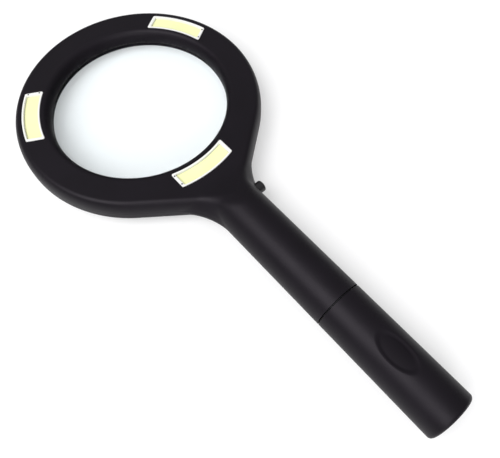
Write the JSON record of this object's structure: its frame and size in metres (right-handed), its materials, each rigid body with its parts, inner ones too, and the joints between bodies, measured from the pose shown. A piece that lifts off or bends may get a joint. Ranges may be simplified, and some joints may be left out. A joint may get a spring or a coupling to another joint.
{
  "type": "lighted hand magnifier",
  "caption": "Hand-held low vision magnifier: round domed lens in a flat ring with light strips, straight handle with side push-button and pull-off battery cover.",
  "frame": {"origin": "under the middle of the overall length, on the surface that the handle lies on when the magnifier lies on its back", "axes": "+Z is the lens axis towards the lighted front face, +Y runs along the handle towards the head, +X is the side of the push-button"},
  "size_m": [0.1142, 0.2424, 0.0216],
  "materials": {
    "black_plastic": "fine matte moulded texture with a soft broad sheen",
    "clear_lens": "polished clear acrylic",
    "gasket_rubber": "soft black seal",
    "white_board": "white solder mask on an aluminium board",
    "yellow_phosphor": "pale yellow silicone phosphor, unlit",
    "red_wire": "red insulation",
    "black_wire": "black insulation",
    "resistor_coat": "tan coating",
    "screw_steel": "zinc plated",
    "switch_plastic": "black moulded housing",
    "contact_brass": "thin sheet",
    "button_plastic": "smooth matte",
    "plunger_plastic": "white slider",
    "tube_plastic": "dark grey moulding",
    "cell_jacket": "plain printed sleeve with no marks",
    "spring_steel": "nickel plated wire"
  },
  "bodies": {
    "casing": {"front_shell": "black_plastic", "rear_shell": "black_plastic", "lens": "clear_lens", "lens_gasket": "gasket_rubber", "led_board_1": "white_board", "led_board_2": "white_board", "led_board_3": "white_board", "led_phosphor_1": "yellow_phosphor", "led_phosphor_2": "yellow_phosphor", "led_phosphor_3": "yellow_phosphor", "positive_wire": "red_wire", "negative_wire": "black_wire", "ballast_resistor": "resistor_coat", "case_screws": "screw_steel", "switch_body": "switch_plastic", "switch_terminals": "contact_brass", "battery_tube": "tube_plastic", "return_rail": "contact_brass", "front_contact": "contact_brass", "front_cell": "cell_jacket", "rear_cell": "cell_jacket"},
    "power_button": {"power_button": "button_plastic", "switch_plunger": "plunger_plastic"},
    "battery_cover": {"battery_cover": "black_plastic", "tail_spring": "spring_steel", "tail_contact": "contact_brass"}
  },
  "joints": [
    {"name": "button_press", "type": "slide", "parent": "casing", "child": "power_button", "axis": [-1, 0, 0], "range_m": [0, 0.0015], "stiffness_N_per_m": 600, "springref_m": -0.002},
    {"name": "cover_slide", "type": "slide", "parent": "casing", "child": "battery_cover", "axis": [0, -1, 0], "range_m": [0, 0.06]}
  ]
}
